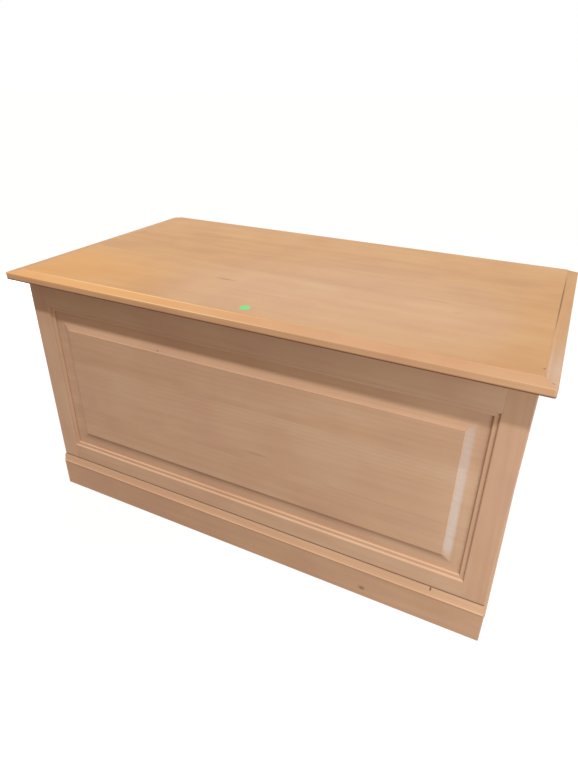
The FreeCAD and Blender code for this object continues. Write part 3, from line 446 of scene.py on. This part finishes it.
def ease(piece, width, has_mitred_coves):
    """Rounds a piece's sharp edges to a width in metres."""
    weld = piece.modifiers.new("join corners", "WELD")
    weld.merge_threshold = TOUCHING
    merge = piece.modifiers.new("merge flat faces", "DECIMATE")
    merge.decimate_type = "DISSOLVE"
    merge.angle_limit = math.radians(FLAT)
    bevel = piece.modifiers.new("arris", "BEVEL")
    bevel.width = width
    bevel.segments = 2
    bevel.limit_method = "ANGLE"
    bevel.angle_limit = math.radians(SHARP)
    if has_mitred_coves:
        piece.modifiers.new("part the mitres", "EDGE_SPLIT").split_angle = math.radians(COVE_STEP)
    piece.modifiers.new("even shading", "WEIGHTED_NORMAL")


RAISED_PANELS = ("front_panel", "left_panel", "right_panel")
for name, piece in pieces.items():
    width = next((width for word, width in ARRIS.items() if word in name), JOINERY_ARRIS)
    ease(piece, width, name in RAISED_PANELS)
print("eased", len(pieces), "pieces")

# %% [markdown]
# ## Screws
# The drawing shows each screw as a plain countersunk peg. A real one has a cross recess that
# takes the driver and a thread that holds in the wood. A screw could be bought in as a model, but
# two kinds of ring make it: rings of points round the axis, whose radius rises and falls with
# height and angle together, are a thread, and a cross-shaped ring set below the rim is the recess.

# %% Sizes of a countersunk wood screw, in metres
HEAD_RADIUS, SHANK_RADIUS, CORE_RADIUS = 0.0034, 0.0016, 0.0011
THREAD_PITCH = 0.0013
RECESS_ARM, RECESS_HALF_WIDTH, RECESS_DEPTH = 0.0019, 0.00045, 0.0013
ROUND = 24                # points round the axis
STEPS = 6                 # rings of points for each turn of the thread

# %% Rings of points, from the head to the tip
import bmesh
from mathutils import Matrix, Vector


def ring(mesh, height, radius_at):
    """A ring of points at a height, whose radius may change with the angle."""
    points = []
    for number in range(ROUND):
        turn = 2 * math.pi * number / ROUND
        radius = radius_at(turn)
        points.append(mesh.verts.new((radius * math.cos(turn), radius * math.sin(turn), height)))
    return points


def cross(mesh, height, scale):
    """A cross-shaped ring of twelve points, for the driver's recess."""
    arm, half = RECESS_ARM * scale, RECESS_HALF_WIDTH * scale
    quarter = [(arm, -half), (arm, half), (half, half)]
    return [mesh.verts.new(Matrix.Rotation(math.pi / 2 * side, 3, "Z") @ Vector((x, y, height)))
            for side in range(4) for x, y in quarter]


def skin(mesh, upper, lower):
    """Joins two rings with as many points by a band of faces."""
    for number in range(len(upper)):
        after = (number + 1) % len(upper)
        mesh.faces.new((upper[number], lower[number], lower[after], upper[after]))


# %% The radius of the thread
PLAIN_SHARE = 0.35        # the part of the length that has no thread
POINT, TIP_RADIUS = 0.003, 0.0002


def thread_radius(height, turn, length):
    """Radius of the threaded part at a height and an angle."""
    fullness = max(0.0, min(1.0, (height + length) / POINT))
    ridge = 0.5 + 0.5 * math.cos(2 * math.pi * height / THREAD_PITCH - turn)
    core = CORE_RADIUS * fullness + TIP_RADIUS * (1 - fullness)
    return core + (SHANK_RADIUS - CORE_RADIUS) * ridge ** 3 * fullness


# %% One screw, head at the origin, point towards -Z
RIM = 0.0001              # the edge of the head is broken by this much
RECESS_TAPER = 0.45       # the foot of the recess, as a share of its mouth


def screw(mesh, length):
    """Adds a countersunk screw with a cross recess and a thread."""
    start = len(mesh.verts)
    thread_start = -length * PLAIN_SHARE
    sink = HEAD_RADIUS - SHANK_RADIUS
    rings = [ring(mesh, 0, lambda turn: HEAD_RADIUS - RIM),
             ring(mesh, -RIM, lambda turn: HEAD_RADIUS),
             ring(mesh, -sink, lambda turn: SHANK_RADIUS),
             ring(mesh, thread_start, lambda turn: SHANK_RADIUS)]
    count = round((length + thread_start) / THREAD_PITCH * STEPS)
    for number in range(1, count + 1):
        height = thread_start - (length + thread_start) * number / count
        rings.append(ring(mesh, height, lambda turn: thread_radius(height, turn, length)))
    for upper, lower in zip(rings, rings[1:]):
        skin(mesh, upper, lower)
    mesh.faces.new(reversed(rings[-1]))
    mouth, foot = cross(mesh, 0, 1.0), cross(mesh, -RECESS_DEPTH, RECESS_TAPER)
    skin(mesh, foot, mouth)
    mesh.faces.new(foot)
    outline = [(circle[number], circle[(number + 1) % len(circle)])
               for circle in (rings[0], mouth) for number in range(len(circle))]
    edges = [mesh.edges.get(pair) or mesh.edges.new(pair) for pair in outline]
    bmesh.ops.triangle_fill(mesh, use_beauty=True, edges=edges, normal=(0, 0, 1))
    mesh.verts.ensure_lookup_table()
    return mesh.verts[start:]


# %% Find each peg of the drawing
END_DEPTH = 1e-4          # points this near the end of a peg belong to that end


def solids(mesh):
    """Yields the points of each separate solid of a mesh."""
    waiting = set(mesh.verts)
    while waiting:
        points, reached = set(), [waiting.pop()]
        while reached:
            point = reached.pop()
            points.add(point)
            near = {edge.other_vert(point) for edge in point.link_edges} & waiting
            waiting -= near
            reached.extend(near)
        yield points


def peg(points):
    """Head, heading and length of a peg. The head is the wider of its two ends."""
    low, high = (Vector([pick(point.co[side] for point in points) for side in range(3)])
                 for pick in (min, max))
    axis = max(range(3), key=lambda side: (high - low)[side])
    centres = {}
    for end in (low[axis], high[axis]):
        centre = (low + high) / 2
        centre[axis] = end
        radius = max((point.co - centre).length for point in points
                     if abs(point.co[axis] - end) < END_DEPTH)
        centres[radius] = centre
    head, tip = centres[max(centres)], centres[min(centres)]
    return head, (tip - head).normalized(), (tip - head).length


# %% Replace the five groups of pegs
TURN = 37                 # degrees from one recess to the next, so that no two lie alike

for name in sorted(name for name in pieces if name.endswith("screws")):
    drawn = bmesh.new()
    drawn.from_mesh(pieces[name].data)
    bmesh.ops.remove_doubles(drawn, verts=drawn.verts, dist=TOUCHING)
    placed = sorted((peg(points) for points in solids(drawn)), key=lambda one: tuple(one[0]))
    drawn.free()
    mesh = bmesh.new()
    for number, (head, heading, length) in enumerate(placed):
        points = screw(mesh, length)
        turn = Matrix.Rotation(math.radians(TURN * number), 4, "Z")
        stand = (-heading).to_track_quat("Z", "Y").to_matrix().to_4x4()
        bmesh.ops.transform(mesh, matrix=Matrix.Translation(head) @ stand @ turn, verts=points)
    bmesh.ops.recalc_face_normals(mesh, faces=mesh.faces)
    data = bpy.data.meshes.new(f"threaded_{name}")
    mesh.to_mesh(data)
    mesh.free()
    detailed = bpy.data.objects.new(f"threaded_{name}", data)
    bpy.context.scene.collection.objects.link(detailed)
    data.materials.append(METALS[fittings[name]])
    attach(detailed, pieces[name]["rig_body"])
    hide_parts(name)
    print(name, "has", len(placed), "screws of", round(length * 1000, 1), "mm")

# %% [markdown]
# ## The price dot
# A round adhesive dot of green paper, 19 mm across, lies near the front edge of the lid. It has
# nothing printed on it. A flat disc would do from afar, but paper that was pressed on by a thumb
# lifts a hair at one side, so the disc is a few rings of points with a slight curl.

# %% A paper disc that lifts at one side
DOT_RADIUS, DOT_THICKNESS, DOT_LIFT = 0.0095, 0.00008, 0.00015
DOT_PLACE = Vector((0.0105, -0.2245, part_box("lid_panel")[1].z))

mesh = bmesh.new()
bmesh.ops.create_circle(mesh, cap_ends=True, cap_tris=True, radius=DOT_RADIUS, segments=48)
bmesh.ops.subdivide_edges(mesh, edges=mesh.edges, cuts=3, use_grid_fill=True)
for point in mesh.verts:
    point.co.z = DOT_LIFT * max(0.0, point.co.x / DOT_RADIUS - 0.5) ** 2
data = bpy.data.meshes.new("price_dot")
mesh.to_mesh(data)
mesh.free()
dot = bpy.data.objects.new("price_dot", data)
bpy.context.scene.collection.objects.link(dot)
dot.location = DOT_PLACE
thick = dot.modifiers.new("paper", "SOLIDIFY")
thick.thickness = DOT_THICKNESS
thick.offset = 1.0
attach(dot, "lid")

# %% Day-glow green paper, matt, with a faint fibre
PULP = 0.0012             # a clump of its fibres, in metres
paper = bpy.data.materials.new("green_paper")
paper.use_nodes = True
tree = paper.node_tree
tree.nodes.clear()
pulp = node(tree, "TexNoise", {"Vector": node(tree, "TexCoord").outputs["Object"],
                               "Scale": 1 / PULP, "Detail": 3.0})
green = node(tree, "Mix", {"Factor": pulp, "A": linear("6BD97C"), "B": linear("82E794")},
             data_type="RGBA")
relief = node(tree, "Bump", {"Height": pulp, "Strength": 0.3, "Distance": 0.00003})
surface = node(tree, "BsdfPrincipled", {"Base Color": green, "Roughness": 0.7, "Normal": relief})
node(tree, "OutputMaterial", {"Surface": surface})
data.materials.append(paper)
print("price dot at", DOT_PLACE)

# %% [markdown]
# ## Floor, sky and light
# A studio shows furniture on a pale sweep, under one strong lamp high in front, with the walls of
# the room filling the shadows. The sweep is a wide pale floor here. It could be lit until it is
# white, but then it would light the chest from below as no floor does. So the rays are told
# apart: what the camera and the varnish see of floor and sky is near white, and the light that
# they throw back on the chest is that of a room in warm middle tones. The wood keeps its depth,
# and the floor keeps its shadow.

# %% Rays that look, as against rays that light
WHITE = (1, 1, 1, 1)


def looking(tree):
    """1 for a ray from the camera or a reflection of one, 0 for a ray that gathers light."""
    ray = node(tree, "LightPath").outputs
    direct = node(tree, "Math", {0: ray["Is Camera Ray"], 1: ray["Is Glossy Ray"]},
                  operation="MAXIMUM")
    return node(tree, "Math", {0: direct, 1: ray["Is Transmission Ray"]}, operation="MAXIMUM")


# %% The floor
FLOOR_RADIUS = 30.0
FLOOR_COLOUR = "786C60"   # as a light, not as it is seen
LIT_SHARE = 0.6           # the rest of what is seen glows white

mesh = bmesh.new()
bmesh.ops.create_circle(mesh, cap_ends=True, radius=FLOOR_RADIUS, segments=96)
data = bpy.data.meshes.new("studio_floor")
mesh.to_mesh(data)
mesh.free()
floor = bpy.data.objects.new("studio_floor", data)
bpy.context.scene.collection.objects.link(floor)
sweep = bpy.data.materials.new("pale_sweep")
sweep.use_nodes = True
tree = sweep.node_tree
tree.nodes.clear()
lighting = node(tree, "BsdfDiffuse", {"Color": linear(FLOOR_COLOUR)})
lit = node(tree, "BsdfDiffuse", {"Color": WHITE})
glow = node(tree, "Emission", {"Color": WHITE, "Strength": 1.0})
shown = node(tree, "MixShader", {0: LIT_SHARE, 1: glow, 2: lit})
surface = node(tree, "MixShader", {0: looking(tree), 1: lighting, 2: shown})
node(tree, "OutputMaterial", {"Surface": surface})
data.materials.append(sweep)
print("floor", 2 * FLOOR_RADIUS, "m across")

# %% The sky
SKY_LIGHT, SKY_COLOUR = 0.38, (1.15, 0.935, 0.74)

world = bpy.data.worlds.new("white_room")
bpy.context.scene.world = world
world.use_nodes = True
tree = world.node_tree
tree.nodes.clear()
light = [SKY_LIGHT * part for part in SKY_COLOUR] + [1]
sky = node(tree, "Mix", {"Factor": looking(tree), "A": light, "B": WHITE}, data_type="RGBA")
surface = node(tree, "Background", {"Color": sky, "Strength": 1.0})
node(tree, "OutputWorld", {"Surface": surface})
print("light of the sky", light[:3])

# %% The lamp, far away, so that it is a sun with a wide disc
LAMP_LIGHT, LAMP_COLOUR = 2.3, (0.94, 1.0, 1.06)     # watts on a square metre that faces the lamp
LAMP_DISC = 3             # degrees across
LAMP_HEIGHT = 66          # degrees above the floor, seen from the side
LAMP_TO_THE_RIGHT = 12    # degrees

lamp = bpy.data.lights.new("high_lamp", "SUN")
lamp.energy = LAMP_LIGHT
lamp.angle = math.radians(LAMP_DISC)
lamp.color = LAMP_COLOUR
high_lamp = bpy.data.objects.new("high_lamp", lamp)
bpy.context.scene.collection.objects.link(high_lamp)
rise = math.tan(math.radians(LAMP_HEIGHT))
towards_lamp = Vector((math.tan(math.radians(LAMP_TO_THE_RIGHT)), -1, rise)).normalized()
high_lamp.rotation_euler = towards_lamp.to_track_quat("Z", "Y").to_euler()
print("lamp from", towards_lamp)

# %% [markdown]
# ## Soft boxes and cards
# One lamp leaves the side and the back dull, and it doesn't show that the wood is varnished,
# because varnish is seen only by what it mirrors. A picture of a bright room all round could do
# both, but nobody could aim it. Area lamps can be aimed, as a studio's stands are: soft boxes
# light the wood at the right and behind, and stand so low that little of their light reaches the
# lid. Cards of cool light are hidden from the wood and show only in the varnish, one low in front
# for the right bevel of the front panel, and two far behind for the lid and its edge. A flag keeps
# a card off the boards beside it, which light linking does here, and a grid keeps its light going
# one way.

# %% A lamp with an area
def stand_up(name, shape, place, faces, width, height, watts, tint):
    """Stands up an area lamp that the camera can't see, and returns it."""
    box = bpy.data.lights.new(name, "AREA")
    box.shape = shape
    box.size, box.size_y = width, height
    box.energy = watts
    box.color = tint
    stand = bpy.data.objects.new(name, box)
    bpy.context.scene.collection.objects.link(stand)
    stand.location = place
    stand.rotation_euler = (Vector(place) - Vector(faces)).to_track_quat("Z", "Y").to_euler()
    stand.visible_camera = False
    return stand


# %% Soft boxes: place, what it faces, width and height in metres, watts, colour
SOFT_BOXES = [
    ("side_box", "ELLIPSE", (1.05, -0.80, 0.42), (0.35, -0.25, 0.30), 0.7, 0.5, 4.6,
     (0.80, 0.90, 0.98)),
    ("rear_box", "ELLIPSE", (-1.50, 1.30, 0.26), (0.0, 0.0, 0.26), 2.0, 0.48, 14.0,
     (1.0, 0.97, 0.93)),
]
for set_up in SOFT_BOXES:
    stand_up(*set_up)
print(len(SOFT_BOXES), "soft boxes")

# %% Cards, and the boards in which each one shows
CARDS = [
    (("low_card", "RECTANGLE", (0.556, -0.462, 0.116), (0.456, -0.258, 0.314), 0.21, 0.28, 0.24,
      (0.10, 0.56, 0.95)), ["front_panel"]),
    (("right_card", "ELLIPSE", (0.70, 1.12, 1.11), (0.49, -0.24, 0.53), 0.16, 0.14, 0.6,
      (0.25, 0.65, 1.0)), ["lid_panel", "lid_right_moulding"]),
    (("left_card", "ELLIPSE", (-0.40, 1.20, 1.13), (0.05, -0.15, 0.53), 1.6, 0.4, 3.0,
      (0.25, 0.6, 1.0)), ["lid_panel", "lid_front_moulding"]),
]
for set_up, shows_in in CARDS:
    card = stand_up(*set_up)
    card.visible_diffuse = False
    unflagged = bpy.data.collections.new(f"boards_in_{card.name}")
    for name in shows_in:
        unflagged.objects.link(pieces[name])
    card.light_linking.receiver_collection = unflagged
print(len(CARDS), "cards")

# %% A grid on the low card, which leans with the bevel
GRID, LEAN = 50, 9        # degrees

low_card = bpy.data.objects["low_card"]
low_card.data.spread = math.radians(GRID)
low_card.rotation_euler.rotate_axis("Z", math.radians(LEAN))
print("low card turned to", low_card.rotation_euler)

# %% [markdown]
# ## The camera
# The chest is seen from in front of its right-hand end, less than a metre above the floor and
# through a wide lens: that is why the lid narrows so quickly towards the far left. Distance and
# lens could be traded for each other, but only this pair gives that narrowing.

# %% Place and aim
CAMERA_PLACE = (0.4698, -0.9863, 0.8756)
TURNED_LEFT, LOOKING_DOWN, TILTED = 26.224, 28.883, 0.768      # degrees
LENS, SENSOR = 26.484, 36.0                                    # millimetres

camera_data = bpy.data.cameras.new("camera")
camera_data.sensor_width = SENSOR
camera_data.lens = LENS
camera = bpy.data.objects.new("camera", camera_data)
bpy.context.scene.collection.objects.link(camera)
camera.matrix_world = (Matrix.Translation(CAMERA_PLACE)
                       @ Matrix.Rotation(math.radians(TURNED_LEFT), 4, "Z")
                       @ Matrix.Rotation(math.radians(90 - LOOKING_DOWN), 4, "X")
                       @ Matrix.Rotation(math.radians(TILTED), 4, "Z"))
bpy.context.scene.camera = camera
bpy.context.scene.view_settings.view_transform = "Standard"
print("camera at", camera.matrix_world.translation)

# %% [markdown]
# ## The finish must not make the chest bigger.

# %% Import json
import json
